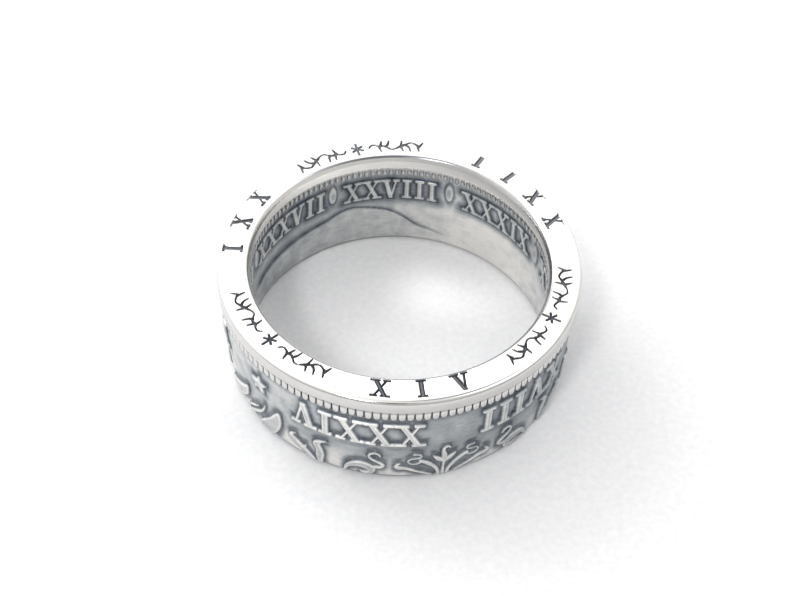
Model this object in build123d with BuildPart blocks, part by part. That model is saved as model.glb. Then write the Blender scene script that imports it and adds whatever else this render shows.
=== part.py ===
"""A silver finger ring folded from a coin, lying on its foot with the coin's rim on top.

Millimetres, +Z up. The origin is the centre of the ring, on the surface it lies on.
Azimuth runs anticlockwise seen from above, from +X. The photograph looks from azimuth -90.
"""
import os
from math import cos, degrees, hypot, radians, sin

from build123d import *

# Band
band_height = 8.8
rim_inner_radius = 10.27  # half the finger size
rim_width = 2.23
rim_side_height = 1.0  # polished side of the rim, down to the beading
face_corner_radius = 0.33
bevel_width = 0.22
bevel_height = 0.35
outer_field_step = 0.26  # how far the fields lie behind the rim
inner_field_step = 0.2
foot_spread = 0.49  # how far the bore widens from the rim to the foot
foot_width = 1.12
foot_rounding = 0.28
taper_height = 4.4  # below this the outer wall leans in towards the foot

# Beading under the rim, outside and inside
bead_count = 144
bead_height = 0.83
bead_step = 0.04  # the beads' tops lie this far behind the rim
outer_bead_gap = 0.13
inner_bead_gap = 0.2
bead_corner = 0.12
gap_floor = 0.03  # what the gaps between beads leave standing on the field

# Raised and struck marks
outer_relief_height = 0.2
inner_relief_height = 0.14
relief_root = 0.3  # how far a raised mark reaches into the wall
strike_depth = 0.14
strike_offset = 0.22  # the struck circle lies this far towards +Y
outer_letter_height = 2.3
outer_letter_drop = 2.43  # from the face down to the letters
outer_letter_slimness = 0.93  # the letters' widths are drawn in by this much
inner_letter_height = 1.9
inner_letter_drop = 2.35
inner_letter_slimness = 0.8
face_letter_height = 1.38
face_letter_shift = 0.15  # the face's letters lie this far outside the middle of the struck circle
dot_height = 1.75
dot_width = 0.65
dot_lift = 0.3  # the dots stand this far above the letters' middle
star_radius = 0.85
face_star_radius = 0.6
vine_swing = 0.36  # how far the vine on the face swings to each side
ornament_foot = 0.37  # the ornament's shares count up from here; its strokes run out below at the foot
ornament_gap = 0.45  # from the ornament up to the letters

# Numerals: text and the azimuth of its middle
OUTER_NUMERALS = [("XXXIV", -101.7), ("XVIII", -44.5), ("XIX", 7), ("XXII", 52), ("XVII", 100), ("XXI", 189)]
INNER_NUMERALS = [("XXXVII", 143.5), ("XXVIII", 95), ("XXXIX", 46.5), ("XXXIV", -2), ("XXXII", -50),
                  ("XXIII", -98), ("XVIII", -146), ("XII", 180)]
FACE_NUMERALS = [("XXII", 41.3), ("XXI", 165.5), ("XIV", -81.4)]
FACE_LETTER_PITCH = 13.2  # degrees

# Azimuths of what stands between them
OUTER_STARS = [-137, 147]
INNER_DOTS = [119.5, 70.5, 22, -26, -74, -122, -167, 167]
FACE_STARS = [107.6, -26, -136.5]
ORNAMENT_MIDDLES = [-73.5, 106.5]

# Letters and their strokes: widths as shares of the letter height times its slimness, the rest as shares
# of the letter height
LETTER_WIDTH = {"I": 0.46, "V": 0.78, "X": 0.8}
LETTER_GAP = 0.13
THICK_STROKE = 0.22
THIN_STROKE = 0.1
SERIF_HEIGHT = 0.1
SERIF_REACH = 0.13
STAR_WAIST = 0.42  # inner radius of a star, as a share of its outer radius
FACE_STAR_ARMS = [(0, 1.0), (60, 0.68), (120, 0.68)]  # turn in degrees, reach as a share of its radius
FACE_STAR_ARM = 0.24  # width of an arm, as a share of the radius

# The vine on the face, from a star outwards: along in degrees, across and width as shares of the swing
VINE_WAVE = [  # along, across, width
    (4.4, 0.15, 0.17), (5.5, -0.55, 0.25), (7.0, -0.45, 0.3), (8.3, -0.1, 0.45), (9.8, -0.15, 0.45),
    (11.0, 0.2, 0.3), (12.6, 0.9, 0.22), (14.2, 0.75, 0.22), (15.5, 0.3, 0.4), (16.7, -0.15, 0.6),
    (18.0, -0.55, 0.4), (19.7, -1.1, 0.28), (21.3, -0.9, 0.28), (22.8, -0.3, 0.4)]
VINE_THORNS = [  # along and across of its points
    [(8.2, -0.1), (8.75, 1.4)], [(8.8, -0.2), (9.3, -1.5)], [(10.7, 0.1), (11.5, -0.55), (12.0, -1.65)],
    [(16.3, 0.0), (17.3, 1.35)], [(16.4, 0.3), (16.6, -1.65)], [(18.0, -0.4), (19.4, 0.25), (20.1, 1.3)],
    [(22.6, -0.4), (23.3, 1.1)], [(22.9, 0.1), (24.2, -1.4)]]
THORN_WIDTH = 0.38

# The scrolled ornament, the same on both sides but for the tip of its stem: out in degrees from the
# middle, up and width as shares of the ornament's height
STEM = [  # out, up, width
    (0, -0.06, 0.094), (0, 0.14, 0.067), (0, 0.33, 0.061), (0.1, 0.50, 0.11), (0, 0.68, 0.12),
    (-0.4, 0.83, 0.083), (-0.2, 0.94, 0.056), (0.9, 0.98, 0.047), (1.6, 0.92, 0.042)]
SCROLLS = {
    "bud leaf": [(0.3, 0.47, 0.069), (1.7, 0.56, 0.12), (2.7, 0.64, 0.083), (3.6, 0.70, 0.033)],
    "inner stem": [(1.3, -0.06, 0.083), (1.9, 0.14, 0.083), (3.3, 0.32, 0.094), (5.3, 0.47, 0.11),
                   (7.4, 0.57, 0.10)],
    "inner curl": [(7.2, 0.54, 0.056), (8.6, 0.47, 0.042), (10.4, 0.47, 0.039), (11.5, 0.56, 0.039),
                   (10.6, 0.65, 0.039), (8.6, 0.67, 0.039), (7.4, 0.71, 0.039), (7.8, 0.80, 0.039),
                   (9.8, 0.82, 0.042)],
    "outer stem": [(2.6, -0.06, 0.044), (5.5, 0.06, 0.047), (9, 0.19, 0.061), (12, 0.31, 0.089),
                   (14.4, 0.33, 0.12), (15.2, 0.38, 0.094)],
    "outer tip": [(15.2, 0.36, 0.083), (14.9, 0.44, 0.061), (13.9, 0.49, 0.028)],
    "ribbon": [(31.9, -0.01, 0.050), (30.6, 0.21, 0.11), (28, 0.33, 0.19), (24.9, 0.33, 0.22),
               (23, 0.22, 0.19), (23.6, 0.08, 0.12), (25.6, 0.06, 0.072), (26.8, 0.12, 0.033)],
    "ribbon neck": [(22.4, 0.31, 0.083), (20.2, 0.32, 0.083), (19.3, 0.40, 0.078), (20.3, 0.49, 0.072),
                    (22.4, 0.58, 0.061), (23.7, 0.68, 0.056), (23.4, 0.78, 0.053), (22, 0.83, 0.050),
                    (20.7, 0.80, 0.050), (20.2, 0.72, 0.039)],
    "claw": [(37.6, 0.83, 0.033), (39.6, 0.77, 0.083), (41, 0.64, 0.17), (40.2, 0.46, 0.17),
             (40.1, 0.29, 0.20), (40.3, 0.13, 0.17), (40, -0.03, 0.10)],
    "claw toe": [(42.8, -0.03, 0.14), (44.8, 0.14, 0.14), (47, 0.29, 0.14), (49.3, 0.39, 0.18),
                 (50.6, 0.48, 0.13), (50.2, 0.58, 0.069), (48.7, 0.64, 0.028)],
    "claw spur": [(45.9, 0.25, 0.11), (45.2, 0.38, 0.033)],
    "feather": [(55.5, 0.90, 0.10), (56.3, 0.71, 0.24), (57.6, 0.49, 0.32), (59.8, 0.26, 0.39),
                (62.5, 0.03, 0.42)],
    "quill": [(61.7, 0.83, 0.028), (63, 0.61, 0.061), (65.2, 0.42, 0.083), (68.5, 0.22, 0.094),
              (72, 0.03, 0.083)],
    "quill barb": [(65.3, 0.60, 0.028), (67.6, 0.46, 0.056), (70.6, 0.32, 0.061)],
    "far feather": [(71.3, 0.85, 0.083), (72.8, 0.67, 0.22), (75.8, 0.47, 0.31), (80, 0.28, 0.33),
                    (84.5, 0.08, 0.33)],
}

# The plain raised field on the inner wall: azimuth of its edge and drop below the face, as a share of
# the band's height, in order along the back of the ring
FIELD_EDGE = [  # azimuth, drop
    (168, 0.75), (158, 0.705), (140, 0.676), (130, 0.657), (122, 0.63), (117, 0.587), (111, 0.562),
    (104, 0.591), (96, 0.636), (90, 0.71), (84, 0.81), (78, 0.852), (70, 0.91)]
field_relief = 0.1


def wall_plane(azimuth, radius, height, turned=False):
    """A plane facing out of the ring, turned to stand its drawing on its head."""
    out = Vector(cos(radians(azimuth)), sin(radians(azimuth)), 0)
    along = Vector(-out.Y, out.X, 0)
    return Plane(out * radius + Vector(0, 0, height), x_dir=-along if turned else along, z_dir=out)


def bore_plane(azimuth, radius, height):
    """A plane facing the axis, upright as seen from inside the ring."""
    out = Vector(cos(radians(azimuth)), sin(radians(azimuth)), 0)
    return Plane(out * radius + Vector(0, 0, height), x_dir=Vector(out.Y, -out.X, 0), z_dir=-out)


def slanted(foot_x, top_x, top, width):
    """A stroke with level ends, drawn in the open sketch."""
    half = width / 2
    Polygon((foot_x - half, -top), (foot_x + half, -top), (top_x + half, top), (top_x - half, top),
            align=None)


def letter(name, height, slimness=1.0):
    """One letter of a Roman numeral, centred, with slab serifs, drawn in the open sketch."""
    wide = height * slimness
    top, thick, thin = height / 2, THICK_STROKE * wide, THIN_STROKE * wide
    inward = SERIF_HEIGHT * height / 2
    reach = (LETTER_WIDTH[name] / 2 - SERIF_REACH) * wide
    foot = reach if name == "X" else 0
    strokes = [(0, 0, thick)] if name == "I" else [(foot, -reach, thick), (-foot, reach, thin)]
    for foot_x, top_x, stroke in strokes:
        slanted(foot_x, top_x, top, stroke)
        with Locations((top_x, top - inward)):
            Rectangle(stroke + 2 * SERIF_REACH * wide, 2 * inward)
        if name != "V":
            with Locations((foot_x, inward - top)):
                Rectangle(stroke + 2 * SERIF_REACH * wide, 2 * inward)


def letter_places(text, height, slimness):
    """Each letter of a numeral and where it is centred, along a line from the middle."""
    widths = [LETTER_WIDTH[name] * height * slimness for name in text]
    gap = LETTER_GAP * height
    start = -(sum(widths) + gap * (len(text) - 1)) / 2
    places = []
    for name, width in zip(text, widths):
        places.append((name, start + width / 2))
        start += width + gap
    return places


def five_pointed(radius):
    """A star with one point up, drawn in the open sketch."""
    reaches = [radius if corner % 2 else radius * STAR_WAIST for corner in range(10)]
    Polygon(*[(reach * sin(radians(36 * corner)), -reach * cos(radians(36 * corner)))
              for corner, reach in enumerate(reaches)], align=None)


def ribbon(nodes):
    """A stroke through (x, y, width) nodes, drawn in the open sketch."""
    left, right = [], []
    for number, (x, y, width) in enumerate(nodes):
        before, after = nodes[max(number - 1, 0)], nodes[min(number + 1, len(nodes) - 1)]
        dx, dy = after[0] - before[0], after[1] - before[1]
        side_x, side_y = -dy / hypot(dx, dy) * width / 2, dx / hypot(dx, dy) * width / 2
        left.append((x + side_x, y + side_y))
        right.append((x - side_x, y - side_y))
    with BuildLine() as outline:
        Spline(*left)
        Line(left[-1], right[-1])
        Spline(*reversed(right))
        Line(right[0], left[0])
    make_face(outline.edges())


def struck_point(azimuth, across):
    """A point of the face, across from the middle of the struck circle towards the outside."""
    radius = struck_radius + across
    return radius * cos(radians(azimuth)), radius * sin(radians(azimuth)) + strike_offset


def struck_vine(star, way):
    """One vine, going round from a star one way or the other, drawn in the open sketch."""
    def at(along, across, width):
        return *struck_point(star + way * along, way * across * vine_swing), width * vine_swing
    ribbon([at(*node) for node in VINE_WAVE])
    for thorn in VINE_THORNS:
        ribbon([at(along, across, THORN_WIDTH) for along, across in thorn])


# Levels and radii that follow from the driving dimensions
rim_outer_radius = rim_inner_radius + rim_width
foot_inner_radius = rim_inner_radius + foot_spread
foot_outer_radius = foot_inner_radius + foot_width
outer_field_radius = rim_outer_radius - outer_field_step
inner_field_radius = rim_inner_radius + inner_field_step
beading_top = band_height - rim_side_height
beading_foot = beading_top - bead_height
face_inner_radius = rim_inner_radius + bevel_width
face_outer_radius = rim_outer_radius - face_corner_radius
struck_radius = (face_inner_radius + face_outer_radius) / 2
outer_letter_level = band_height - outer_letter_drop - outer_letter_height / 2
inner_letter_level = band_height - inner_letter_drop - inner_letter_height / 2
ornament_height = outer_letter_level - outer_letter_height / 2 - ornament_gap - ornament_foot
outer_gap_radius = outer_field_radius + gap_floor
inner_gap_radius = inner_field_radius - gap_floor


def outer_wall(offset):
    """The outer wall from the beading down, moved out by an offset."""
    return [(outer_field_radius + offset, beading_foot), (outer_field_radius + offset, taper_height),
            (foot_outer_radius + offset, foot_rounding)]


def inner_wall(offset):
    """The inner wall from the beading down, moved towards the axis by an offset."""
    return [(inner_field_radius - offset, beading_foot), (foot_inner_radius - offset, foot_rounding)]


# The band before it is struck: one profile turned round the axis
with BuildPart() as blank:
    with BuildSketch(Plane.XZ):
        with BuildLine():
            face = Line((face_inner_radius, band_height), (face_outer_radius, band_height))
            corner = TangentArc(face @ 1, (rim_outer_radius, band_height - face_corner_radius),
                                tangent=(1, 0))
            outside = Polyline(corner @ 1, (rim_outer_radius, beading_top),
                               (rim_outer_radius - bead_step, beading_top),
                               (rim_outer_radius - bead_step, beading_foot), *outer_wall(0))
            foot = TangentArc(outside @ 1, (foot_outer_radius - foot_rounding, 0), tangent=outside % 1)
            floor = Line(foot @ 1, (foot_inner_radius + foot_rounding, 0))
            turn = TangentArc(floor @ 1, (foot_inner_radius, foot_rounding), tangent=(-1, 0))
            Polyline(turn @ 1, inner_wall(0)[0], (rim_inner_radius + bead_step, beading_foot),
                     (rim_inner_radius + bead_step, beading_top), (rim_inner_radius, beading_top),
                     (rim_inner_radius, band_height - bevel_height), face @ 0)
        make_face()
    revolve(axis=Axis.Z)

# What stands out of the outer wall, cut to a skin that follows the wall
with BuildPart() as outer_marks:
    with BuildSketch(Plane.XZ):
        with BuildLine():
            Polyline(*outer_wall(outer_relief_height), *reversed(outer_wall(-relief_root)), close=True)
        make_face()
    revolve(axis=Axis.Z)
    blocks = []
    for text, middle in OUTER_NUMERALS:
        for name, along in letter_places(text, outer_letter_height, outer_letter_slimness):
            azimuth = middle - degrees(along / outer_field_radius)
            plane = wall_plane(azimuth, rim_inner_radius, outer_letter_level, turned=True)
            with BuildSketch(plane, mode=Mode.PRIVATE) as drawn:
                letter(name, outer_letter_height, outer_letter_slimness)
            blocks.append(extrude(drawn.sketch, amount=rim_outer_radius, mode=Mode.PRIVATE))
    for azimuth in OUTER_STARS:
        plane = wall_plane(azimuth, rim_inner_radius, outer_letter_level)
        with BuildSketch(plane, mode=Mode.PRIVATE) as drawn:
            five_pointed(star_radius)
        blocks.append(extrude(drawn.sketch, amount=rim_outer_radius, mode=Mode.PRIVATE))
    for middle in ORNAMENT_MIDDLES:
        for side, strokes in ((1, [STEM, *SCROLLS.values()]), (-1, SCROLLS.values())):
            for stroke in strokes:
                centre = (stroke[0][0] + stroke[-1][0]) / 2
                plane = wall_plane(middle + side * centre, rim_inner_radius, ornament_foot)
                with BuildSketch(plane, mode=Mode.PRIVATE) as drawn:
                    ribbon([(side * radians(out - centre) * outer_field_radius, up * ornament_height,
                             width * ornament_height) for out, up, width in stroke])
                blocks.append(extrude(drawn.sketch, amount=rim_outer_radius, mode=Mode.PRIVATE))
    add(blocks, mode=Mode.INTERSECT)

# What stands out of the inner wall, cut to a skin in the same way
with BuildPart() as inner_marks:
    with BuildSketch(Plane.XZ):
        with BuildLine():
            Polyline(*inner_wall(inner_relief_height), *reversed(inner_wall(-relief_root)), close=True)
        make_face()
    revolve(axis=Axis.Z)
    blocks = []
    for text, middle in INNER_NUMERALS:
        for name, along in letter_places(text, inner_letter_height, inner_letter_slimness):
            azimuth = middle - degrees(along / inner_field_radius)
            plane = bore_plane(azimuth, rim_outer_radius, inner_letter_level)
            with BuildSketch(plane, mode=Mode.PRIVATE) as drawn:
                letter(name, inner_letter_height, inner_letter_slimness)
            blocks.append(extrude(drawn.sketch, amount=rim_inner_radius, mode=Mode.PRIVATE))
    for azimuth in INNER_DOTS:
        plane = bore_plane(azimuth, rim_outer_radius, inner_letter_level + dot_lift)
        with BuildSketch(plane, mode=Mode.PRIVATE) as drawn:
            Ellipse(dot_width / 2, dot_height / 2)
        blocks.append(extrude(drawn.sketch, amount=rim_inner_radius, mode=Mode.PRIVATE))
    add(blocks, mode=Mode.INTERSECT)

# The plain raised field at the back of the inner wall
with BuildPart() as plain_field:
    with BuildSketch(Plane.XZ):
        with BuildLine():
            Polyline(*inner_wall(field_relief), *reversed(inner_wall(-relief_root)), close=True)
        make_face()
    revolve(axis=Axis.Z)
    edge_points = [(foot_inner_radius * cos(radians(azimuth)), band_height * (1 - drop))
                   for azimuth, drop in FIELD_EDGE]
    with BuildSketch(Plane.XZ) as drawn:
        with BuildLine():
            edge = Spline(*edge_points)
            Polyline(edge @ 1, (edge_points[-1][0], 0), (edge_points[0][0], 0), edge @ 0)
        make_face()
    extrude(amount=-rim_outer_radius, mode=Mode.INTERSECT)

# Slots between the beads, one outside and one inside
with BuildPart() as bead_slots:
    with BuildSketch(wall_plane(0, outer_gap_radius, beading_foot)):
        half = outer_bead_gap / 2
        Polygon((-half, bead_height), (half, bead_height), (half, bead_corner),
                (half + bead_corner, -bead_corner), (-half - bead_corner, -bead_corner), (-half, bead_corner),
                align=None)
    extrude(amount=outer_field_step)
    with BuildSketch(bore_plane(0, inner_gap_radius, beading_foot)):
        Rectangle(inner_bead_gap, 2 * bead_height)
    extrude(amount=inner_field_step)

# The ring itself: the blank, struck on its face and beaded, with all that stands out of its walls
with BuildPart() as coin_band:
    add(blank.part)
    with BuildSketch(Plane.XY.offset(band_height)):
        for text, middle in FACE_NUMERALS:
            for number, name in enumerate(text):
                azimuth = middle + (number - (len(text) - 1) / 2) * FACE_LETTER_PITCH
                place = struck_point(azimuth, face_letter_shift)
                with Locations(Location((*place, 0), (0, 0, azimuth + 90))):
                    letter(name, face_letter_height)
        for azimuth in FACE_STARS:
            for turned_by, reach in FACE_STAR_ARMS:
                with Locations(Location((*struck_point(azimuth, 0), 0), (0, 0, azimuth + 90 + turned_by))):
                    Rectangle(face_star_radius * FACE_STAR_ARM, 2 * face_star_radius * reach)
            struck_vine(azimuth, 1)
            struck_vine(azimuth, -1)
    extrude(amount=-strike_depth, mode=Mode.SUBTRACT)
    with PolarLocations(0, bead_count):
        add(bead_slots.part, mode=Mode.SUBTRACT)
    add([outer_marks.part, inner_marks.part, plain_field.part])
coin_band.part.label = "coin_band"

os.makedirs("parts", exist_ok=True)
export_step(coin_band.part, "parts/coin_band.step")
print("volume", round(coin_band.part.volume, 1), "mm3, solids", len(coin_band.part.solids()))
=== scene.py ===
"""Looks of a silver ring folded from a coin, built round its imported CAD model.

Lengths are in millimetres until a mesh is made, +Z up, azimuths in degrees anticlockwise from +X.
"""
from math import cos, pi, radians, sin

import bpy
import numpy as np
from mathutils import Matrix, Vector


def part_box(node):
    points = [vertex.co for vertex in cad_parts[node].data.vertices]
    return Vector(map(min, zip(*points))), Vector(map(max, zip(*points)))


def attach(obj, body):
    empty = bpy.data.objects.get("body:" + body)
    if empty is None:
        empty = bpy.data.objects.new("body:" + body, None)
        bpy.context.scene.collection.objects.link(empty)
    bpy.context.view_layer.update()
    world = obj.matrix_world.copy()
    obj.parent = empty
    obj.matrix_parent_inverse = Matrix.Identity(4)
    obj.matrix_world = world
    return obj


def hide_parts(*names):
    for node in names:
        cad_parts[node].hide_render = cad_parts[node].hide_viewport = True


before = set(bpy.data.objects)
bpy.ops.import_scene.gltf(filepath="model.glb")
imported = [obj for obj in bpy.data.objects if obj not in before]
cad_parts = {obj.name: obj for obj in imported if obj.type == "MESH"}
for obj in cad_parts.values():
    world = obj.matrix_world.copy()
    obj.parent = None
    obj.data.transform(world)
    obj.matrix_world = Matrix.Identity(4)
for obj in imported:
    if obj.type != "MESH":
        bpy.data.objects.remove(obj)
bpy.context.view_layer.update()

# The rim: the coin's own edge, folded up so that it lies flat on top. It is polished bright and carries
# three numerals and three pairs of vines, struck in with punches and left dark. It is part of the one
# piece of silver, and the walls below hang from it.

MILLIMETRE = 0.001
band_foot, band_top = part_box("coin_band")
band_height = (band_top.z - band_foot.z) / MILLIMETRE
rim_outer_radius = (band_top.x - band_foot.x) / 2 / MILLIMETRE
rim_inner_radius = 10.27
rim_side_height = 1.0
face_corner_radius = 0.33
bevel_width = 0.22
bevel_height = 0.35
edge_rounding = 0.05
strike_depth = 0.13
strike_flank = 0.06  # the width of a struck mark's sloping side
strike_offset = 0.22  # the struck circle lies this far towards +Y
face_letter_height = 1.38
face_letter_shift = 0.15  # the face's letters lie this far outside the middle of the struck circle
face_star_radius = 0.6
vine_swing = 0.36  # how far a vine swings to each side
corner_steps = 7
edge_steps = 3
BEVEL_SHARES = (0.3, 0.6, 0.9)
BEVEL_BULGE = 0.85  # under 1 the bevel is round, over 1 it is hollow
beading_top = band_height - rim_side_height
face_inner_radius = rim_inner_radius + bevel_width
face_outer_radius = rim_outer_radius - face_corner_radius
struck_radius = (face_inner_radius + face_outer_radius) / 2

FACE_NUMERALS = [("XXII", 41.3), ("XXI", 165.5), ("XIV", -81.4)]  # text, azimuth of its middle
face_letter_pitch = 13.2  # degrees
FACE_STARS = [107.6, -26, -136.5]
FACE_STAR_ARMS = [(0, 1.0), (60, 0.68), (120, 0.68)]  # turn in degrees, reach as a share of its radius
FACE_STAR_ARM = 0.24  # the width of an arm as a share of its radius
VINE_WAVE = [  # along in degrees from the star, across and width as shares of the swing
    (4.4, 0.15, 0.17), (5.5, -0.55, 0.25), (7.0, -0.45, 0.3), (8.3, -0.1, 0.45), (9.8, -0.15, 0.45),
    (11.0, 0.2, 0.3), (12.6, 0.9, 0.22), (14.2, 0.75, 0.22), (15.5, 0.3, 0.4), (16.7, -0.15, 0.6),
    (18.0, -0.55, 0.4), (19.7, -1.1, 0.28), (21.3, -0.9, 0.28), (22.8, -0.3, 0.4)]
VINE_THORNS = [  # along and across of its points
    [(8.2, -0.1), (8.75, 1.4)], [(8.8, -0.2), (9.3, -1.5)], [(10.7, 0.1), (11.5, -0.55), (12.0, -1.65)],
    [(16.3, 0.0), (17.3, 1.35)], [(16.4, 0.3), (16.6, -1.65)], [(18.0, -0.4), (19.4, 0.25), (20.1, 1.3)],
    [(22.6, -0.4), (23.3, 1.1)], [(22.9, 0.1), (24.2, -1.4)]]
THORN_WIDTHS = (0.5, 0.2)  # at its root and its tip, as shares of the swing

LETTER_WIDTH = {"I": 0.46, "V": 0.78, "X": 0.8}  # shares of the letter height, as the next ones are
LETTER_GAP = 0.13
THICK_STROKE = 0.22
THIN_STROKE = 0.1
SERIF_HEIGHT = 0.1
SERIF_REACH = 0.13
SERIF_TAPER = 0.95


def colour(hex_code):
    """An sRGB hex colour as Blender's linear numbers."""
    parts = [int(hex_code[i:i + 2], 16) / 255 for i in (1, 3, 5)]
    return [p / 12.92 if p < 0.04045 else ((p + 0.055) / 1.055) ** 2.4 for p in parts] + [1]


def add_node(tree, kind, links=None, **settings):
    """One node with its settings, and what is plugged into or set on its sockets."""
    node = tree.nodes.new(kind)
    for name, value in settings.items():
        setattr(node, name, value)
    for socket, value in (links or {}).items():
        if isinstance(value, bpy.types.NodeSocket):
            tree.links.new(value, node.inputs[socket])
        else:
            node.inputs[socket].default_value = value
    return node


def smooth_path(nodes, steps=8):
    """Points along a smooth line through the nodes, whatever numbers a node holds."""
    held = np.array([nodes[0], *nodes, nodes[-1]], float)
    found = []
    for a, b, c, d in zip(held, held[1:], held[2:], held[3:]):
        for share in np.arange(steps) / steps:
            found.append(b + 0.5 * share * (c - a + share * (2 * a - 5 * b + 4 * c - d
                                                             + share * (3 * (b - c) + d - a))))
    return found + [held[-1]]


def ribbon(nodes):
    """The signed distance to a stroke through (x, y, width) nodes, less than nothing inside it."""
    path = smooth_path(nodes)

    def distance(x, y):
        nearest = np.full(x.shape, np.inf)
        for (x0, y0, w0), (x1, y1, w1) in zip(path, path[1:]):
            dx, dy = x1 - x0, y1 - y0
            share = np.clip(((x - x0) * dx + (y - y0) * dy) / max(dx * dx + dy * dy, 1e-9), 0, 1)
            away = np.hypot(x - x0 - share * dx, y - y0 - share * dy)
            nearest = np.minimum(nearest, away - (w0 + share * (w1 - w0)) / 2)
        return nearest
    return distance


def outline(corners):
    """The signed distance to a polygon, less than nothing inside it."""
    def distance(x, y):
        nearest, inside = np.full(x.shape, np.inf), np.zeros(x.shape, bool)
        for (x0, y0), (x1, y1) in zip(corners, corners[1:] + corners[:1]):
            dx, dy = x1 - x0, y1 - y0
            share = np.clip(((x - x0) * dx + (y - y0) * dy) / (dx * dx + dy * dy), 0, 1)
            nearest = np.minimum(nearest, np.hypot(x - x0 - share * dx, y - y0 - share * dy))
            if dy:
                inside ^= ((y0 > y) != (y1 > y)) & (x < x0 + (y - y0) * dx / dy)
        return np.where(inside, -nearest, nearest)
    return distance


def together(shapes):
    """Several shapes as one."""
    return lambda x, y: np.min([shape(x, y) for shape in shapes], axis=0)


def mirrored(shape, y_way):
    """A shape mirrored left for right, and stood on its head too where y_way is -1."""
    return lambda x, y: shape(-x, y * y_way)


def letter(name, height, slim=1.0):
    """One letter of a Roman numeral, centred, with slab serifs, its widths drawn in where it is slim."""
    top = height / 2
    wide = height * slim
    serif = SERIF_HEIGHT * height
    thick = THICK_STROKE * wide
    thin = THIN_STROKE * wide
    reach = (LETTER_WIDTH[name] / 2 - SERIF_REACH) * wide
    foot = reach if name == "X" else 0
    strokes = [(0, 0, thick)] if name == "I" else [(foot, -reach, thick), (-foot, reach, thin)]
    shapes = []
    for foot_x, top_x, stroke in strokes:
        half = stroke / 2
        slab = half + SERIF_REACH * wide
        shapes.append(outline([(foot_x - half, -top), (foot_x + half, -top), (top_x + half, top),
                               (top_x - half, top)]))
        ends = [(top_x, top)] if name == "V" else [(top_x, top), (foot_x, -top)]
        for x, y in ends:
            inside = y - serif if y > 0 else y + serif
            shapes.append(outline([(x - slab, y), (x + slab, y), (x + slab * SERIF_TAPER, inside),
                                   (x - slab * SERIF_TAPER, inside)]))
    return together(shapes)


def letter_places(text, height, slim=1.0):
    """Each letter of a numeral and where it is centred, along a line from the middle."""
    widths = [LETTER_WIDTH[name] * height * slim for name in text]
    gap = LETTER_GAP * height
    start = -(sum(widths) + gap * (len(text) - 1)) / 2
    places = []
    for name, width in zip(text, widths):
        places.append((name, start + width / 2))
        start += width + gap
    return places


def mark_distance(azimuths, levels, radius, marks, reach):
    """How far the points of a wall, unrolled at a radius, lie from the nearest mark, up to a reach.
    A mark is its azimuth, level, half its width and height, and its shape."""
    found = np.full((len(levels), len(azimuths)), float(reach))
    for azimuth, level, half_width, half_height, shape in marks:
        along = np.radians((azimuths - azimuth + 180) % 360 - 180) * radius
        columns = np.nonzero(np.abs(along) < half_width + reach)[0]
        rows = np.nonzero(np.abs(levels - level) < half_height + reach)[0]
        x, y = np.meshgrid(along[columns], levels[rows] - level)
        window = np.ix_(rows, columns)
        found[window] = np.minimum(found[window], shape(x, y))
    return found


def rise(distance, flank):
    """0 outside a mark and 1 inside it, with a smooth flank across its edge."""
    share = np.clip(0.5 - distance / flank, 0, 1)
    return share * share * (3 - 2 * share)


def fading(azimuths, middle, spread):
    """1 at an azimuth, fading softly to nothing past a spread of degrees."""
    return np.exp(-((azimuths - middle) / spread) ** 2)


def arc(centre_x, centre_y, radius, start, end, steps):
    """Points of an arc in a section, angles in degrees."""
    turns = np.radians(np.linspace(start, end, steps + 1))
    return [(centre_x + radius * cos(t), centre_y + radius * sin(t)) for t in turns]


def spaced(start, end, step):
    """Numbers from start to end, about a step apart."""
    return np.linspace(start, end, max(2, round(abs(end - start) / step) + 1))


chart_columns = 2
chart_rows = 4
CHART_MARGIN = 0.005
HIDDEN_SHARE = 0.05  # a hidden face takes this share of its length on its chart


def silver_mesh(name, points, faces, tarnish):
    """A smooth mesh from points in millimetres, with how dark the silver is at each of them."""
    mesh = bpy.data.meshes.new(name)
    mesh.from_pydata(np.array(points) * MILLIMETRE, [], faces)
    mesh.shade_smooth()
    layer = mesh.attributes.new("Tarnish", "FLOAT", "POINT")
    layer.data.foreach_set("value", np.ravel(tarnish).astype(np.float32))
    return mesh


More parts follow.
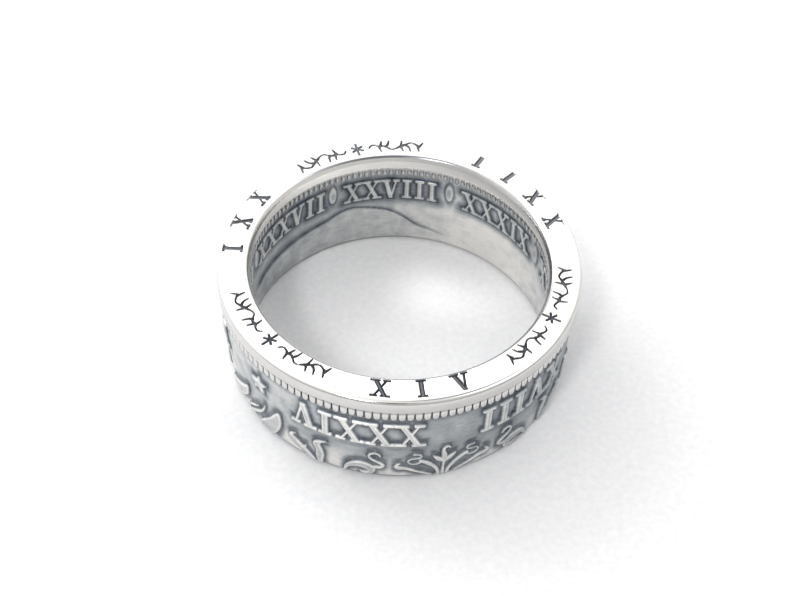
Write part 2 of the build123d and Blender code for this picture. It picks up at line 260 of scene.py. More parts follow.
def closed_ring(name, radii, heights, azimuths, tarnish, hidden_rows, sharp_rows):
    """A ring of metal as a mesh. radii and heights have a row for each point of its section, going
    round it, and a column for each azimuth. A face starts where its shorter diagonal does, so that a
    slanting edge stays smooth. The OFBake map holds the surface in charts of an eighth of the ring."""
    rows, columns = radii.shape
    turns = np.radians(azimuths)
    points = np.stack([radii * np.cos(turns), radii * np.sin(turns), heights], -1).reshape(-1, 3)
    here = np.arange(rows * columns).reshape(rows, columns)
    down, on = np.roll(here, -1, 0), np.roll(here, -1, 1)
    faces = np.stack([here, down, np.roll(down, -1, 1), on], -1)
    first, second = [np.linalg.norm(points[faces[..., corner]] - points[faces[..., corner + 2]], axis=-1)
                     for corner in (0, 1)]
    turned = (first > second)[..., None]

    def in_order(corners):
        return np.where(turned, np.roll(corners, -1, -1), corners)

    mesh = silver_mesh(name, points, in_order(faces).reshape(-1, 4), tarnish)
    ends = np.empty(len(mesh.edges) * 2, int)
    mesh.edges.foreach_get("vertices", ends)
    row_of = ends.reshape(-1, 2) // columns
    sharp = (row_of[:, 0] == row_of[:, 1]) & np.isin(row_of[:, 0], sharp_rows)
    mesh.attributes.new("sharp_edge", "BOOLEAN", "EDGE").data.foreach_set("value", sharp)
    section = np.stack([radii.mean(1), heights.mean(1)], -1)
    lengths = np.hypot(*(np.roll(section, -1, 0) - section).T)
    lengths[hidden_rows] *= HIDDEN_SHARE
    down_share = np.concatenate([[0], np.cumsum(lengths)]) / lengths.sum()
    charts = chart_columns * chart_rows
    chart = np.arange(columns) * charts // columns
    left = np.arange(columns) * charts / columns - chart
    right = left + charts / columns
    wide = 1 / chart_columns
    high = 1 / chart_rows
    u = np.stack([left, left, right, right], -1)[None] * (wide - 2 * CHART_MARGIN) + CHART_MARGIN
    u = u + (chart % chart_columns * wide)[None, :, None]
    v = 1 - np.stack([down_share[:-1], down_share[1:], down_share[1:], down_share[:-1]], -1)[:, None]
    v = v * (high - 2 * CHART_MARGIN) + CHART_MARGIN + (chart // chart_columns * high)[None, :, None]
    layer = mesh.uv_layers.new(name="OFBake")
    u, v = np.broadcast_arrays(u, v)
    layer.uv.foreach_set("vector", np.stack([in_order(u), in_order(v)], -1).astype(np.float32).ravel())
    return mesh


def add_object(name, data):
    """Data as an object of the scene."""
    added = bpy.data.objects.new(name, data)
    bpy.context.scene.collection.objects.link(added)
    return added


def add_piece(name, mesh, material):
    """The mesh as an object that rides on the ring and stands for its CAD solid."""
    mesh.materials.clear()
    mesh.materials.append(material)
    piece = add_object(name, mesh)
    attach(piece, "root")
    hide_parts("coin_band")


clouds_per_mm = 0.9  # the skin is cloudy in patches a little over a millimetre wide
scratches_per_mm = 1.3  # a scratch is 0.8 mm long, coarser than real polishing leaves, so that it shows
scratch_slimness = 16  # which makes it 0.05 mm wide
scratch_depth = 0.02
NOISE_SPAN = (0.3, 0.7)  # nearly all of a noise's values lie between these
GREY_TONE = 0.4  # the tarnish at which silver is grey, between bright at 0 and dark at 1


def silver(name, bright, grey, dark, roughness, uneven):
    """Coin silver: a bright metal that goes from worn to oxidised as the Tarnish attribute grows, and
    rougher with it, because the dark skin is matt. Clouds and fine scratches round the ring shift it."""
    material = bpy.data.materials.new(name)
    material.use_nodes = True
    tree = material.node_tree
    tree.nodes.clear()
    place = add_node(tree, "ShaderNodeTexCoord").outputs["Object"]
    tarnish = add_node(tree, "ShaderNodeAttribute", attribute_name="Tarnish").outputs["Fac"]
    flat = add_node(tree, "ShaderNodeMapping", {
        "Vector": place, "Scale": (1, 1, scratch_slimness)}).outputs["Vector"]
    cloud = add_node(tree, "ShaderNodeTexNoise", {
        "Vector": place, "Scale": clouds_per_mm / MILLIMETRE, "Detail": 5.0,
        "Roughness": 0.65}).outputs["Fac"]
    scratch = add_node(tree, "ShaderNodeTexNoise", {
        "Vector": flat, "Scale": scratches_per_mm / MILLIMETRE, "Detail": 4.0,
        "Roughness": 0.7}).outputs["Fac"]
    amount = tarnish
    for noise, spread in zip((cloud, scratch), uneven):
        shift = add_node(tree, "ShaderNodeMapRange", {
            "Value": noise, "From Min": NOISE_SPAN[0], "From Max": NOISE_SPAN[1], "To Min": -spread,
            "To Max": spread}).outputs["Result"]
        amount = add_node(tree, "ShaderNodeMath", {0: amount, 1: shift}, operation="ADD",
                          use_clamp=True).outputs[0]
    ramp = add_node(tree, "ShaderNodeValToRGB", {"Fac": amount})
    ramp.color_ramp.elements[0].color = colour(bright)
    ramp.color_ramp.elements[1].color = colour(dark)
    ramp.color_ramp.elements.new(GREY_TONE).color = colour(grey)
    gloss = add_node(tree, "ShaderNodeMapRange", {"Value": amount, "To Min": roughness[0],
                                                  "To Max": roughness[1]}).outputs["Result"]
    bump = add_node(tree, "ShaderNodeBump", {
        "Height": scratch, "Strength": 0.2, "Distance": scratch_depth * MILLIMETRE})
    shader = add_node(tree, "ShaderNodeBsdfPrincipled", {
        "Base Color": ramp.outputs["Color"], "Metallic": 1.0, "Roughness": gloss,
        "Normal": bump.outputs["Normal"]})
    add_node(tree, "ShaderNodeOutputMaterial", {"Surface": shader.outputs["BSDF"]})
    return material


letter_span = 4  # degrees that a struck letter or star takes to each side of its middle
vine_span = (3, 25)  # a vine's, counted from its star
thorn_span = 2  # a thorn's, past its two ends


def face_marks():
    """Every mark struck into the face: the azimuths that it spans and its shape seen from above."""
    def point(azimuth, across):
        radius = struck_radius + across
        return radius * cos(radians(azimuth)), radius * sin(radians(azimuth)) + strike_offset

    def turned(shape, azimuth, across=0):
        centre_x, centre_y = point(azimuth, across)
        side_x, side_y = -sin(radians(azimuth)), cos(radians(azimuth))
        return lambda x, y: shape((x - centre_x) * side_x + (y - centre_y) * side_y,
                                  (y - centre_y) * side_x - (x - centre_x) * side_y)

    marks = []
    for text, middle in FACE_NUMERALS:
        for number, name in enumerate(text):
            azimuth = middle + (number - (len(text) - 1) / 2) * face_letter_pitch
            shape = turned(letter(name, face_letter_height), azimuth, face_letter_shift)
            marks.append((azimuth - letter_span, azimuth + letter_span, shape))
    for star in FACE_STARS:
        arm = FACE_STAR_ARM * face_star_radius
        for turn, reach in FACE_STAR_ARMS:
            dx = face_star_radius * reach * sin(radians(turn))
            dy = face_star_radius * reach * cos(radians(turn))
            shape = turned(ribbon([(-dx, -dy, arm), (dx, dy, arm)]), star)
            marks.append((star - letter_span, star + letter_span, shape))
        for way in (1, -1):
            def at(along, across, width):
                return *point(star + way * along, way * across * vine_swing), width * vine_swing
            span = sorted(star + way * end for end in vine_span)
            marks.append((*span, ribbon([at(*node) for node in VINE_WAVE])))
            for thorn in VINE_THORNS:
                ends = (thorn[0][0] - thorn_span, thorn[-1][0] + thorn_span)
                span = sorted(star + way * end for end in ends)
                widths = np.linspace(*THORN_WIDTHS, len(thorn))
                marks.append((*span, ribbon([at(*node, width) for node, width in zip(thorn, widths)])))
    return marks


marks = face_marks()
fine_step = 0.17  # degrees between columns where a mark is struck
plain_step = 1.5
fine_before = 2  # degrees ahead of a mark in which the columns are fine already
fine_after = 1  # and past it
fine_row = 0.039  # from row to row of the face
degree_steps = []
azimuth = -180.0
while azimuth < 180 - fine_step / 2:
    degree_steps.append(azimuth)
    near = any((azimuth - first + fine_before) % 360 < last - first + fine_before + fine_after
               for first, last, _ in marks)
    azimuth += fine_step if near else plain_step
rim_azimuths = np.array(degree_steps)
across = spaced(face_inner_radius + edge_rounding, face_outer_radius, fine_row)
rim_section = ([(radius, band_height) for radius in across]
               + arc(face_outer_radius, band_height - face_corner_radius, face_corner_radius, 90, 0,
                     corner_steps)[1:]
               + [(rim_outer_radius, (band_height + beading_top) / 2)]
               + arc(rim_outer_radius - edge_rounding, beading_top + edge_rounding, edge_rounding, 0, -90,
                     edge_steps)
               + [(rim_inner_radius, beading_top), (rim_inner_radius, band_height - bevel_height)]
               + [(rim_inner_radius + bevel_width * share,
                   band_height - bevel_height * (1 - share ** BEVEL_BULGE)) for share in BEVEL_SHARES])
rim_radii, rim_heights = [np.repeat(part[:, None], len(rim_azimuths), 1) for part in np.array(rim_section).T]
struck = np.full((len(across), len(rim_azimuths)), 1.0)
for first, last, shape in marks:
    columns = np.nonzero((rim_azimuths - first) % 360 <= last - first)[0]
    turns = np.radians(rim_azimuths[columns])
    window = np.ix_(range(len(across)), columns)
    struck[window] = np.minimum(struck[window], shape(np.outer(across, np.cos(turns)),
                                                      np.outer(across, np.sin(turns))))
rim_heights[:len(across)] -= strike_depth * rise(struck, strike_flank)

# Tones run from 0, rubbed bright, to 1, black. The marks are blackest at their sides, and as painted shade
# and light they are painted darker in front and paler behind. The rim's side and the band inside it are a
# little grey, the band painted darker on the right as painted shade, and fine painted dark reflections follow
# the edges of the face and the bevel.
SIDE_TONE = 0.17
BORE_EDGE_TONE = 0.1
BORE_TONE = 0.12
BORE_PAINTED_SHADE = 0.14  # painted shade: how much darker the band inside is painted at its darkest azimuth
bore_shade_darkest = -5  # degrees
bright_corner_rows = 3  # rows of the outer corner that are as bright as the face
corner_row = len(across)
side_row = corner_row + corner_steps
underside_row = side_row + 1 + edge_steps
bevel_rows = [-3, -2, -1]
# Painted dark reflections: thin dark lines painted along the edges of the face and the bevel, where the
# polished curve would mirror something dark
PAINTED_DARK_REFLECTIONS = [  # the section's rows, the azimuth, the spread in degrees and the tone of each
    ([0], -45, 45, 0.55), ([0], 100, 40, 0.6), ([corner_row], -68, 22, 0.65), (bevel_rows, -80, 60, 0.75),
    (bevel_rows[-1:], 95, 35, 0.8)]
mark_spill = 0.01  # how far the dark spills out of a mark in front
mark_spill_back = 0.02  # and how much further behind
mark_tone_edge = 0.05  # the width over which a mark's tone turns into the face's
side_dark = 0.04  # how far the dark of a mark's sides reaches over its floor before it pales
floor_fade = 0.08  # and the width over which it does
FLOOR_WEAR = 0.3  # the share of the dark that is worn off a mark's floor
BACK_PAINTED_LIGHT = 0.25  # painted light: the share of the dark taken off the marks furthest behind
rim_tarnish = np.full(rim_radii.shape, SIDE_TONE)
rim_tarnish[:corner_row + bright_corner_rows] = 0
rim_tarnish[underside_row + 1] = BORE_EDGE_TONE
# Painted shade: the band inside is painted darker towards one side
towards_shade = np.cos(np.radians(rim_azimuths - bore_shade_darkest))
rim_tarnish[underside_row + 2:] = BORE_TONE + BORE_PAINTED_SHADE * towards_shade
at_back = 0.5 + 0.5 * np.sin(np.radians(rim_azimuths))
floor_tone = 1 - FLOOR_WEAR * np.clip((-struck - side_dark) / floor_fade, 0, 1)
# The marks' tone, painted paler towards the back as painted light
rim_tarnish[:corner_row] = (rise(struck - mark_spill - mark_spill_back * at_back, mark_tone_edge)
                            * floor_tone * (1 - BACK_PAINTED_LIGHT * at_back))
# The painted dark reflections along the edges
for rows, azimuth, spread, tone in PAINTED_DARK_REFLECTIONS:
    rim_tarnish[rows] = np.maximum(rim_tarnish[rows], tone * fading(rim_azimuths, azimuth, spread))
rim_mesh = closed_ring("rim", rim_radii, rim_heights, rim_azimuths, rim_tarnish,
                       hidden_rows=[underside_row],
                       sharp_rows=[underside_row, underside_row + 1, underside_row + 2])

# Coin silver rubbed on a polishing wheel: nearly white, with crisp reflections, hardly a scratch, and
# blue-black skin left at the bottom of what was struck
polished = silver("polished coin silver", "#F6F3EE", "#8F9296", "#23282F", (0.1, 0.45), (0.01, 0.03))
add_piece("rim", rim_mesh, polished)

# The beading: small tongues that hang from the rim, outside and inside the band, as the coin's border
# of dots did before it was folded. Each was struck with the coin and then rubbed bright on top, and
# the gaps between them are oxidised.

bead_count = 144
bead_height = 0.83
bead_step = 0.04  # the beads' tops lie this far behind the rim
bead_root = 0.03  # and their roots this far inside the wall
bead_crown = 0.004  # how far the middle of a bead's top stands out
bead_steps = 8
BEAD_UNEVENNESS = 0.05  # the share by which a bead may be longer or narrower than its own size
BEAD_LEVELS = [  # rise, size and tone of its flank
    (0.0, 1.0, 1.0), (0.6, 0.97, 0.5), (0.9, 0.85, 0.0), (1.0, 0.6, 0.0)]
TOP_SHADE = 0.1  # the share of their darkness that a bead's flanks have under the rim
FOOT_SHADE = 1.6  # and how much that share grows down its length, up to 1
outer_field_radius = rim_outer_radius - 0.26
inner_field_radius = rim_inner_radius + 0.2
# Side, which way the tops face, the rim's and the field's radius, the gap from bead to bead, the tones of
# a bead's top under the rim and at its foot, its root's tone, and the seed
BEADINGS = [("outer", 1, rim_outer_radius, outer_field_radius, 0.07, (SIDE_TONE, 0.14), 1.0, 3),
            ("inner", -1, rim_inner_radius, inner_field_radius, 0.12, (0.12, 0.35), 0.65, 11)]


def bead_mesh(name, width, height, root_radius, top_radius, tones, root_tone):
    """One tongue at azimuth 0, hanging from level 0, with rounded flanks that are dark at their root. Its
    top's tone runs from the first to the second of two at its foot."""
    half = width / 2
    way = 1 if top_radius > root_radius else -1
    ring = [(half, 0.0)] + arc(0, half - height, half, 0, -180, bead_steps) + [(-half, 0.0)]
    points = []
    tarnish = []
    for share, size, dark in BEAD_LEVELS:
        radius = root_radius + share * (top_radius - root_radius)
        inset = half * (1 - size)
        for x, z in ring:
            down = 0 if z == 0 else (z + height / 2) * (1 - inset / height) - height / 2
            points.append((radius, x * size, down))
            low = min(1, TOP_SHADE - FOOT_SHADE * z / height)
            tarnish.append(max(dark * root_tone * low, tones[0] - (tones[1] - tones[0]) * z / height))
    points.append((top_radius + way * bead_crown, 0, -height * 0.5))
    tarnish.append(sum(tones) / 2)
    count = len(ring)
    faces = []
    last = (len(BEAD_LEVELS) - 1) * count
    for level in range(0, last, count):
        for i in range(count):
            a = level + i
            b = level + (i + 1) % count
            faces.append((a, b, b + count, a + count)[::-way])
    for i in range(count):
        faces.append((last + i, last + (i + 1) % count, len(points) - 1)[::-way])
    faces.append(tuple(range(count))[::way])
    return silver_mesh(name, points, faces, tarnish)


def beading_tree(material):
    """Beads set round the axis at equal steps, each a little longer or narrower than the next."""
    tree = bpy.data.node_groups.new("beading", "GeometryNodeTree")
    for name, kind in (("Bead", "NodeSocketObject"), ("Count", "NodeSocketInt"), ("Level", "NodeSocketFloat"),
                       ("Spread", "NodeSocketFloat"), ("Seed", "NodeSocketInt")):
        tree.interface.new_socket(name, in_out="INPUT", socket_type=kind)
    tree.interface.new_socket("Geometry", in_out="OUTPUT", socket_type="NodeSocketGeometry")
    given = add_node(tree, "NodeGroupInput").outputs
    centre = add_node(tree, "ShaderNodeCombineXYZ", {"Z": given["Level"]})
    points = add_node(tree, "GeometryNodePoints", {"Count": given["Count"], "Position": centre.outputs[0]})
    number = add_node(tree, "GeometryNodeInputIndex")
    step = add_node(tree, "ShaderNodeMath", {0: 2 * pi, 1: given["Count"]}, operation="DIVIDE")
    turn = add_node(tree, "ShaderNodeMath", {0: number.outputs[0], 1: step.outputs[0]}, operation="MULTIPLY")
    turned = add_node(tree, "ShaderNodeCombineXYZ", {"Z": turn.outputs[0]})
    least = add_node(tree, "ShaderNodeMath", {0: 1.0, 1: given["Spread"]}, operation="SUBTRACT")
    most = add_node(tree, "ShaderNodeMath", {0: 1.0, 1: given["Spread"]}, operation="ADD")
    sizes = []
    for extra in (0, 7):  # a bead's width and its length are drawn apart
        seed = add_node(tree, "ShaderNodeMath", {0: given["Seed"], 1: float(extra)}, operation="ADD")
        sizes.append(add_node(tree, "FunctionNodeRandomValue", {
            "Min": least.outputs[0], "Max": most.outputs[0], "Seed": seed.outputs[0]}, data_type="FLOAT"))
    size = add_node(tree, "ShaderNodeCombineXYZ", {
        "X": 1.0, "Y": sizes[0].outputs["Value"], "Z": sizes[1].outputs["Value"]})
    bead = add_node(tree, "GeometryNodeObjectInfo", {"Object": given["Bead"]})
    placed = add_node(tree, "GeometryNodeInstanceOnPoints", {
        "Points": points.outputs[0], "Instance": bead.outputs["Geometry"],
        "Rotation": turned.outputs[0], "Scale": size.outputs[0]})
    real = add_node(tree, "GeometryNodeRealizeInstances", {"Geometry": placed.outputs[0]})
    painted = add_node(tree, "GeometryNodeSetMaterial", {"Geometry": real.outputs[0], "Material": material})
    add_node(tree, "NodeGroupOutput", {"Geometry": painted.outputs[0]})
    return tree


def add_beading(name, bead, tree, seed):
    """A ring of beads as one plain mesh."""
    pattern = bpy.data.objects.new(name + "_pattern", bead)
    carrier = add_object(name + "_carrier", bpy.data.meshes.new(name))
    modifier = carrier.modifiers.new("beading", "NODES")
    modifier.node_group = tree
    values = {"Bead": pattern, "Count": bead_count, "Level": beading_top * MILLIMETRE,
              "Spread": BEAD_UNEVENNESS, "Seed": seed}
    for item in tree.interface.items_tree:
        if item.name in values and item.in_out == "INPUT":
            modifier[item.identifier] = values[item.name]
    evaluated = carrier.evaluated_get(bpy.context.evaluated_depsgraph_get())
    mesh = bpy.data.meshes.new_from_object(evaluated)
    mesh.name = name
    carrier.modifiers.remove(modifier)
    bpy.data.objects.remove(carrier)
    bpy.data.objects.remove(pattern)
    add_piece(name, mesh, polished)


beading = beading_tree(polished)
for side, way, rim_radius, field_radius, gap, tones, root_tone, seed in BEADINGS:
    width = 2 * pi * rim_radius / bead_count - gap
    bead = bead_mesh(side + "_bead", width, bead_height, field_radius - way * bead_root,
                     rim_radius - way * bead_step, tones, root_tone)
    add_beading(side + "_beads", bead, beading, seed)

# The outer wall: what was the coin's back, with its numerals raised and standing on their heads, and
# scrolled ornament below them. It was struck, folded down and dipped to darken it, then wiped, so
# the open fields are grey, the tops are bright, and the dark stays close to every mark.

outer_relief = 0.2
letter_flank = 0.14  # the width of a letter's sloping side
scroll_flank = 0.22
scroll_rim = 0.1  # how far from its edge a broad scroll starts to dip
scroll_dip_width = 0.25
SCROLL_DIP = 0.3  # the share of its height that it dips by
outer_letter_height = 2.3
outer_letter_drop = 2.43  # from the face down to the letters
outer_letter_slimness = 0.93
star_radius = 0.85
STAR_WAIST = 0.42  # the inner radius of a star as a share of its outer one
ornament_foot = 0.37
ornament_height = 3.25
foot_outer_radius = 11.88
foot_inner_radius = 10.76
foot_rounding = 0.28
foot_steps = 5
lean_top = 7.2  # below this level the wall leans in towards the foot, gently at first
LEAN_CURVE = 2.33
core_radius = 11.35  # where the outer and the inner wall meet inside the metal
split_level = 3.85  # between the letters and the ornament
outer_columns = 1440
legend_row = 0.052
ornament_row = 0.0625
wall_start = 0.05  # the fine rows start this far above the beads' ends and end this far below the ornament
OUTER_NUMERALS = [("XXXIV", -101.7), ("XVIII", -44.5), ("XIX", 7), ("XXII", 52), ("XVII", 100), ("XXI", 189)]
OUTER_STARS = [-137, 147]
ORNAMENT_MIDDLES = [-73.5, 106.5]
STEM = [  # degrees out, and up and width as shares of the ornament's height
    (0, -0.06, 0.094), (0, 0.14, 0.067), (0, 0.33, 0.061), (0.1, 0.5, 0.11), (0, 0.68, 0.12),
    (-0.4, 0.83, 0.083), (-0.2, 0.94, 0.056), (0.9, 0.98, 0.047), (1.6, 0.92, 0.042)]
SCROLLS = {
    "bud leaf": [(0.3, 0.47, 0.069), (1.7, 0.56, 0.12), (2.7, 0.64, 0.083), (3.6, 0.7, 0.033)],
    "inner stem": [(1.3, -0.06, 0.083), (1.9, 0.14, 0.083), (3.3, 0.32, 0.094), (5.3, 0.47, 0.11),
                   (7.4, 0.57, 0.1)],
    "inner curl": [(7.2, 0.54, 0.056), (8.6, 0.47, 0.042), (10.4, 0.47, 0.039), (11.5, 0.56, 0.039),
                   (10.6, 0.65, 0.039), (8.6, 0.67, 0.039), (7.4, 0.71, 0.039), (7.8, 0.8, 0.039),
                   (9.8, 0.82, 0.042)],
    "outer stem": [(2.6, -0.06, 0.044), (5.5, 0.06, 0.047), (9, 0.19, 0.061), (12, 0.31, 0.089),
                   (14.4, 0.33, 0.12), (15.2, 0.38, 0.094)],
    "outer tip": [(15.2, 0.36, 0.083), (14.9, 0.44, 0.061), (13.9, 0.49, 0.028)],
    "ribbon": [(31.9, -0.01, 0.05), (30.6, 0.21, 0.11), (28, 0.33, 0.19), (24.9, 0.33, 0.22),
               (23, 0.22, 0.19), (23.6, 0.08, 0.12), (25.6, 0.06, 0.072), (26.8, 0.12, 0.033)],
    "ribbon neck": [(22.4, 0.31, 0.083), (20.2, 0.32, 0.083), (19.3, 0.4, 0.078), (20.3, 0.49, 0.072),
                    (22.4, 0.58, 0.061), (23.7, 0.68, 0.056), (23.4, 0.78, 0.053), (22, 0.83, 0.05),
                    (20.7, 0.8, 0.05), (20.2, 0.72, 0.039)],
    "claw": [(37.6, 0.83, 0.033), (39.6, 0.77, 0.083), (41, 0.64, 0.17), (40.2, 0.46, 0.17),
             (40.1, 0.29, 0.2), (40.3, 0.13, 0.17), (40, -0.03, 0.1)],
    "claw toe": [(42.8, -0.03, 0.14), (44.8, 0.14, 0.14), (47, 0.29, 0.14), (49.3, 0.39, 0.18),
                 (50.6, 0.48, 0.13), (50.2, 0.58, 0.069), (48.7, 0.64, 0.028)],
    "claw spur": [(45.9, 0.25, 0.11), (45.2, 0.38, 0.033)],
    "feather": [(55.5, 0.9, 0.1), (56.3, 0.71, 0.24), (57.6, 0.49, 0.32), (59.8, 0.26, 0.39),
                (62.5, 0.03, 0.42)],
    "quill": [(61.7, 0.83, 0.028), (63, 0.61, 0.061), (65.2, 0.42, 0.083), (68.5, 0.22, 0.094),
              (72, 0.03, 0.083)],
    "quill barb": [(65.3, 0.6, 0.028), (67.6, 0.46, 0.056), (70.6, 0.32, 0.061)],
    "far feather": [(71.3, 0.85, 0.083), (72.8, 0.67, 0.22), (75.8, 0.47, 0.31), (80, 0.28, 0.33),
                    (84.5, 0.08, 0.33)],
}


def five_pointed(radius):
    """A star with one point up."""
    reaches = [radius if corner % 2 else radius * STAR_WAIST for corner in range(10)]
    return outline([(reach * sin(radians(36 * corner)), -reach * cos(radians(36 * corner)))
                    for corner, reach in enumerate(reaches)])


def letter_marks(numerals, height, level, radius, y_way, slim=1.0):
    """The letters of a wall's numerals as marks. Azimuths grow against the way they read."""
    marks = []
    for text, middle in numerals:
        for name, along in letter_places(text, height, slim):
            azimuth = middle - np.degrees(along / radius)
            marks.append((azimuth, level, height / 2, height / 2,
                          mirrored(letter(name, height, slim), y_way)))
    return marks


def scroll_marks():
    """The ornament's strokes as marks, each about its own middle."""
    marks = []
    for middle in ORNAMENT_MIDDLES:
        for side, strokes in ((1, [STEM, *SCROLLS.values()]), (-1, SCROLLS.values())):
            for stroke in strokes:
                centre = (stroke[0][0] + stroke[-1][0]) / 2
                nodes = [(side * radians(out - centre) * outer_field_radius, up * ornament_height,
                          width * ornament_height) for out, up, width in stroke]
                reach = max(abs(x) + width for x, _, width in nodes)
                marks.append((middle + side * centre, ornament_foot, reach, ornament_height,
                              ribbon(nodes)))
    return marks


# A halo is the dark round a mark: its tone beside the mark and its reach in millimetres.
FIELD_TONE = 0.33
FIELD_PAINTED_SHADE = 0.1  # painted shade: how much darker the field is painted at its darkest azimuth
field_shade_darkest = -20  # degrees
LOW_PAINTED_LIGHT = 0.4  # painted light: how much brighter the field is painted low down, for the bright card it reflects
painted_light_from = 3.0  # the level below which it is painted brighter
painted_light_fade = 2.0  # and the drop over which that grows
UNDER_RIM_TONE = 0.1
FOOT_PAINTED_SHADE_TONE = 0.42  # painted shade: the foot's, darker where it meets the card, and the hidden back's
TOP_TONE = 0.03
TOP_GREY = 0.24  # how much greyer the middle of a broad mark's top is than its edges
top_bright_edge = 0.08
top_fade = 0.14
tone_edge = 0.1  # the width over which its tone turns into the field's
EDGE_HALO = (1.0, 0.18)
WIPED_HALO = (0.7, 0.24)
LETTER_HALO = (0.25, 0.55)
SCROLL_HALO = (0.36, 0.6)
SCROLL_HALO_PAINTED_LIGHT = 0.7  # painted light: how much of the scrolls' halo is painted paler low down
BEAD_HALO = (0.85, 0.34)
HALO_CURVE = 1.5  # the larger, the longer a halo holds on before it fades
halo_reach = 1.2  # distances are worked out up to this one
wiped_rows = 6  # the cloth leaves the dark drawn out by this many rows, up and down
SIDE_SHADE = (0.32, -25, 35)  # the tone, azimuth and spread of the darker stretch on the right


def halo(distance, tone, reach):
    """How dark the skin is at a distance from a mark: full beside it, and fading softly round the reach."""
    return tone * np.exp(-(np.maximum(distance, 0) / reach) ** HALO_CURVE)


def tall(distance, rows):
    """The distance to marks drawn out up and down by a number of rows, as a cloth wipes along the ring."""
    held = np.pad(distance, ((rows, rows), (0, 0)), mode="edge")
    return np.minimum.reduce([held[:-2 * rows], held[2 * rows:], distance])


def top_tone(distance):
    """The tone of a mark's top: brightest along its edges, greyer in the middle of a broad one."""
    return TOP_TONE + TOP_GREY * np.clip((-distance - top_bright_edge) / top_fade, 0, 1)


def outer_radius(level):
    """The outer field's radius: upright under the beading and leaning in towards the foot."""
    lean = np.clip((lean_top - level) / (lean_top - foot_rounding), 0, 1) ** LEAN_CURVE
    return outer_field_radius - (outer_field_radius - foot_outer_radius) * lean


outer_letter_level = band_height - outer_letter_drop - outer_letter_height / 2
beading_foot = beading_top - bead_height
raised = letter_marks(OUTER_NUMERALS, outer_letter_height, outer_letter_level, outer_field_radius, -1,
                      outer_letter_slimness)
for azimuth in OUTER_STARS:
    raised.append((azimuth, outer_letter_level, star_radius, star_radius, five_pointed(star_radius)))
scrolls = scroll_marks()

# Coin silver dipped to oxidise it and wiped with a cloth: a blue-grey skin with a soft, even sheen,
# cloudy where the cloth missed, and bare warm silver where it rubbed
struck_grey = silver("oxidised and wiped coin silver", "#F2F0EC", "#B1B5B7", "#3E4752", (0.4, 0.55),
                     (0.12, 0.1))


def add_wall(name, front, levels, front_tarnish, rest, foot_tone, azimuths, back_rows, sharp_rows):
    """A wall as a ring of metal: the rows of its front, and the rest of its section, which is plain."""
    columns = len(azimuths)
    rest = np.array(rest)
    radii = np.concatenate([front, np.repeat(rest[:, :1], columns, 1)])
    heights = np.concatenate([np.repeat(levels[:, None], columns, 1), np.repeat(rest[:, 1:], columns, 1)])
    tarnish = np.concatenate([front_tarnish, np.full((len(rest), columns), foot_tone)])
    add_piece(name, closed_ring(name, radii, heights, azimuths, tarnish, back_rows, sharp_rows), struck_grey)


def add_outer_sleeve(name, levels, lower_section):
    """Part of the outer wall between two levels, as a ring with a plain back inside the metal."""
    azimuths = np.arange(outer_columns) * 360 / outer_columns - 180
    to_letter = mark_distance(azimuths, levels, outer_field_radius, raised, halo_reach)
    to_scroll = mark_distance(azimuths, levels, outer_field_radius, scrolls, halo_reach)
    nearest = np.minimum(to_letter, to_scroll)
    scroll_dip = np.clip((-to_scroll - scroll_rim) / scroll_dip_width, 0, 1) * SCROLL_DIP
    height = np.maximum(rise(to_letter, letter_flank), rise(to_scroll, scroll_flank) * (1 - scroll_dip))
    under_beads = np.repeat((beading_foot - levels)[:, None], outer_columns, 1)
    # Where the wall is painted brighter low down, as painted light
    low = np.clip((painted_light_from - levels) / painted_light_fade, 0, 1)[:, None]
    beside = np.maximum.reduce([
        halo(nearest, *EDGE_HALO), halo(tall(nearest, wiped_rows), *WIPED_HALO),
        halo(to_letter, *LETTER_HALO), halo(to_scroll, *SCROLL_HALO) * (1 - SCROLL_HALO_PAINTED_LIGHT * low),
        halo(under_beads, *BEAD_HALO)])
    # The open field's tone, with painted shade towards the right and painted light low down
    open_tone = (FIELD_TONE + FIELD_PAINTED_SHADE * np.cos(np.radians(azimuths - field_shade_darkest))
                 - LOW_PAINTED_LIGHT * low)
    ground_tone = open_tone + (1 - open_tone) * beside
    tarnish = ground_tone + (top_tone(nearest) - ground_tone) * rise(nearest, tone_edge)
    tarnish[levels == beading_top] = UNDER_RIM_TONE
    shade, *stretch = SIDE_SHADE
    tarnish += shade * (1 - tarnish) * fading(azimuths, *stretch)
    front = outer_radius(levels)[:, None] + outer_relief * height
    back_foot = lower_section[-1][1] if lower_section else levels[-1]
    rest = lower_section + [(core_radius, back_foot), (core_radius, levels[0])]
    last = len(levels) + len(rest)
    back_rows = [last - 3, last - 2, last - 1]
    add_wall(name, front, levels, tarnish, rest, FOOT_PAINTED_SHADE_TONE, azimuths, back_rows, [0, *back_rows])


legend_levels = np.concatenate([
    [beading_top], spaced(beading_foot + wall_start, split_level, legend_row)])
ornament_levels = spaced(split_level, ornament_foot - wall_start, ornament_row)
foot_arc = arc(foot_outer_radius - foot_rounding, foot_rounding, foot_rounding, 0, -90, foot_steps)
add_outer_sleeve("outer_legend", legend_levels, [])
add_outer_sleeve("outer_ornament", ornament_levels, foot_arc)

# The inner wall: what was the coin's front, with numerals upright as seen from inside, oval dots
# between them and a plain raised field below. It is as dark round the marks as the outside is, and the
# finger rubs the field smooth.

